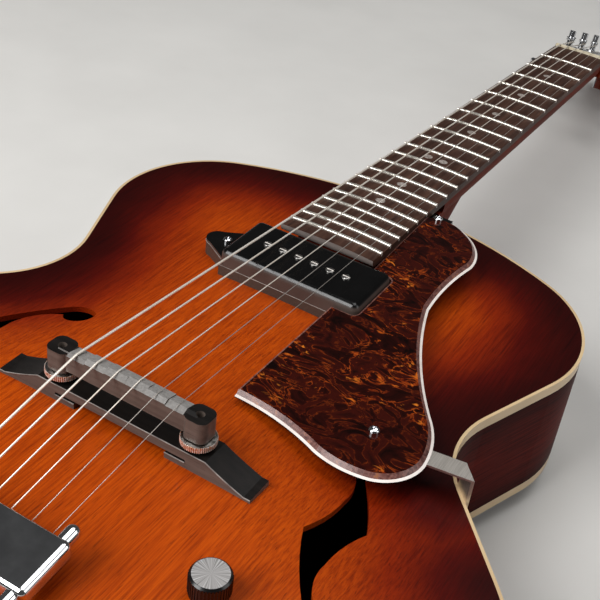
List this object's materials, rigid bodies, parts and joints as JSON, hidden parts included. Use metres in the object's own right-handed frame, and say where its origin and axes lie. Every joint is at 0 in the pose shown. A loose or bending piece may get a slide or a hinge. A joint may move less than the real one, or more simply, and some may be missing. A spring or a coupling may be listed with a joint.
{
  "type": "archtop guitar",
  "caption": "Hollow archtop guitar with f-holes, one pickup, floating bridge on thumbwheels, trapeze tailpiece and worm tuners",
  "frame": {"origin": "on the lowest point of the arched back, half way between the strap button and the tip of the headstock", "axes": "+X to the treble side, +Y to the headstock, +Z out of the top"},
  "size_m": [0.4064, 1.0394, 0.1326],
  "materials": {
    "top_wood": "satin sunburst lacquer on laminated wood",
    "side_wood": "dark red-brown lacquer",
    "binding": "cream binding",
    "inner_wood": "bare wood",
    "neck_wood": "dark red-brown lacquer",
    "black_veneer": "glossy black veneer",
    "board_wood": "oiled rosewood",
    "nickel_wire": "drawn nickel silver",
    "pearl": "grey pearl",
    "bone": "polished ivory-coloured nut",
    "steel": "plain steel",
    "black_plastic": "polished black moulding",
    "tortoise": "tortoise-pattern sheet with pale plies at its edge",
    "chrome_trim": "polished plating",
    "coil_tape": "black cloth tape",
    "brass_plate": "plated brass",
    "bridge_wood": "dark rosewood",
    "knob_metal": "radially brushed cap on a black skirt"
  },
  "bodies": {
    "guitar": {"top_plate": "top_wood", "back_plate": "side_wood", "sides": "side_wood", "top_binding": "binding", "back_binding": "binding", "linings": "inner_wood", "neck_block": "inner_wood", "tail_block": "inner_wood", "tone_bars": "inner_wood", "neck": "neck_wood", "headstock_veneer": "black_veneer", "fingerboard": "board_wood", "frets": "nickel_wire", "fret_markers": "pearl", "nut": "bone", "truss_rod": "steel", "truss_rod_cover": "black_plastic", "pickguard": "tortoise", "pickguard_bracket": "chrome_trim", "pickguard_block": "inner_wood", "pickguard_screws": "chrome_trim", "pickup_cover": "black_plastic", "pickup_riser": "black_plastic", "pickup_coil": "coil_tape", "pickup_base": "brass_plate", "pickup_pole_screws": "steel", "pickup_mounting_screws": "chrome_trim", "bridge_base": "bridge_wood", "bridge_studs": "brass_plate", "tailpiece_crossbar": "chrome_trim", "tailpiece_rod": "chrome_trim", "tailpiece_bracket": "chrome_trim", "tailpiece_screws": "chrome_trim", "strap_button": "chrome_trim", "wound_strings": "nickel_wire", "plain_strings": "steel", "tuner_housings": "chrome_trim", "tuner_bushings": "chrome_trim", "tuner_screws": "chrome_trim", "control_pots": "steel", "output_jack": "chrome_trim"},
    "saddle": {"bridge_saddle": "bridge_wood"},
    "wheel_bass": {"thumbwheel_bass": "brass_plate"},
    "wheel_treble": {"thumbwheel_treble": "brass_plate"},
    "volume": {"volume_knob": "knob_metal"},
    "tone": {"tone_knob": "knob_metal"},
    "post_1": {"tuner_post_1": "chrome_trim"},
    "key_1": {"tuner_key_1": "chrome_trim"},
    "post_2": {"tuner_post_2": "chrome_trim"},
    "key_2": {"tuner_key_2": "chrome_trim"},
    "post_3": {"tuner_post_3": "chrome_trim"},
    "key_3": {"tuner_key_3": "chrome_trim"},
    "post_4": {"tuner_post_4": "chrome_trim"},
    "key_4": {"tuner_key_4": "chrome_trim"},
    "post_5": {"tuner_post_5": "chrome_trim"},
    "key_5": {"tuner_key_5": "chrome_trim"},
    "post_6": {"tuner_post_6": "chrome_trim"},
    "key_6": {"tuner_key_6": "chrome_trim"}
  },
  "joints": [
    {"name": "key_1_turn", "type": "hinge", "parent": "guitar", "child": "key_1", "pos_m": [-0.021, 0.38106, 0.05639], "axis": [-1, 0, 0], "continuous": true},
    {"name": "post_1_turn", "type": "hinge", "parent": "guitar", "child": "post_1", "pos_m": [-0.021, 0.39445, 0.07355], "axis": [0, 0.3152, 0.949], "continuous": true},
    {"name": "key_2_turn", "type": "hinge", "parent": "guitar", "child": "key_2", "pos_m": [-0.019, 0.41997, 0.04347], "axis": [-1, 0, 0], "continuous": true},
    {"name": "post_2_turn", "type": "hinge", "parent": "guitar", "child": "post_2", "pos_m": [-0.019, 0.43336, 0.06063], "axis": [0, 0.3152, 0.949], "continuous": true},
    {"name": "key_3_turn", "type": "hinge", "parent": "guitar", "child": "key_3", "pos_m": [-0.017, 0.45888, 0.03055], "axis": [-1, 0, 0], "continuous": true},
    {"name": "post_3_turn", "type": "hinge", "parent": "guitar", "child": "post_3", "pos_m": [-0.017, 0.47227, 0.04771], "axis": [0, 0.3152, 0.949], "continuous": true},
    {"name": "key_4_turn", "type": "hinge", "parent": "guitar", "child": "key_4", "pos_m": [0.021, 0.38106, 0.05639], "axis": [1, 0, 0], "continuous": true},
    {"name": "post_4_turn", "type": "hinge", "parent": "guitar", "child": "post_4", "pos_m": [0.021, 0.39445, 0.07355], "axis": [0, 0.3152, 0.949], "continuous": true},
    {"name": "key_5_turn", "type": "hinge", "parent": "guitar", "child": "key_5", "pos_m": [0.019, 0.41997, 0.04347], "axis": [1, 0, 0], "continuous": true},
    {"name": "post_5_turn", "type": "hinge", "parent": "guitar", "child": "post_5", "pos_m": [0.019, 0.43336, 0.06063], "axis": [0, 0.3152, 0.949], "continuous": true},
    {"name": "key_6_turn", "type": "hinge", "parent": "guitar", "child": "key_6", "pos_m": [0.017, 0.45888, 0.03055], "axis": [1, 0, 0], "continuous": true},
    {"name": "post_6_turn", "type": "hinge", "parent": "guitar", "child": "post_6", "pos_m": [0.017, 0.47227, 0.04771], "axis": [0, 0.3152, 0.949], "continuous": true},
    {"name": "saddle_lift", "type": "slide", "parent": "guitar", "child": "saddle", "axis": [0, 0, 1], "range_m": [-0.0012, 0.0032], "deforming": ["wound_strings", "plain_strings"]},
    {"name": "wheel_bass_turn", "type": "hinge", "parent": "saddle", "child": "wheel_bass", "pos_m": [-0.0374, -0.27572, 0.1156], "axis": [0, 0, 1], "range_deg": [-540, 1440]},
    {"name": "wheel_treble_turn", "type": "hinge", "parent": "saddle", "child": "wheel_treble", "pos_m": [0.0374, -0.27572, 0.1156], "axis": [0, 0, 1], "range_deg": [-540, 1440]},
    {"name": "volume_turn", "type": "hinge", "parent": "guitar", "child": "volume", "pos_m": [0.0837, -0.33342, 0.091], "axis": [0, 0, 1], "range_deg": [-150, 150]},
    {"name": "tone_turn", "type": "hinge", "parent": "guitar", "child": "tone", "pos_m": [0.104, -0.37672, 0.091], "axis": [0, 0, 1], "range_deg": [-150, 150]}
  ],
  "couplings": [
    {"joint": "post_1_turn", "follows": "key_1_turn", "ratio": 0.071429},
    {"joint": "post_2_turn", "follows": "key_2_turn", "ratio": 0.071429},
    {"joint": "post_3_turn", "follows": "key_3_turn", "ratio": 0.071429},
    {"joint": "post_4_turn", "follows": "key_4_turn", "ratio": -0.071429},
    {"joint": "post_5_turn", "follows": "key_5_turn", "ratio": -0.071429},
    {"joint": "post_6_turn", "follows": "key_6_turn", "ratio": -0.071429},
    {"joint": "wheel_bass_turn", "follows": "saddle_lift", "rad_per_m": 7854},
    {"joint": "wheel_treble_turn", "follows": "saddle_lift", "rad_per_m": 7854}
  ]
}
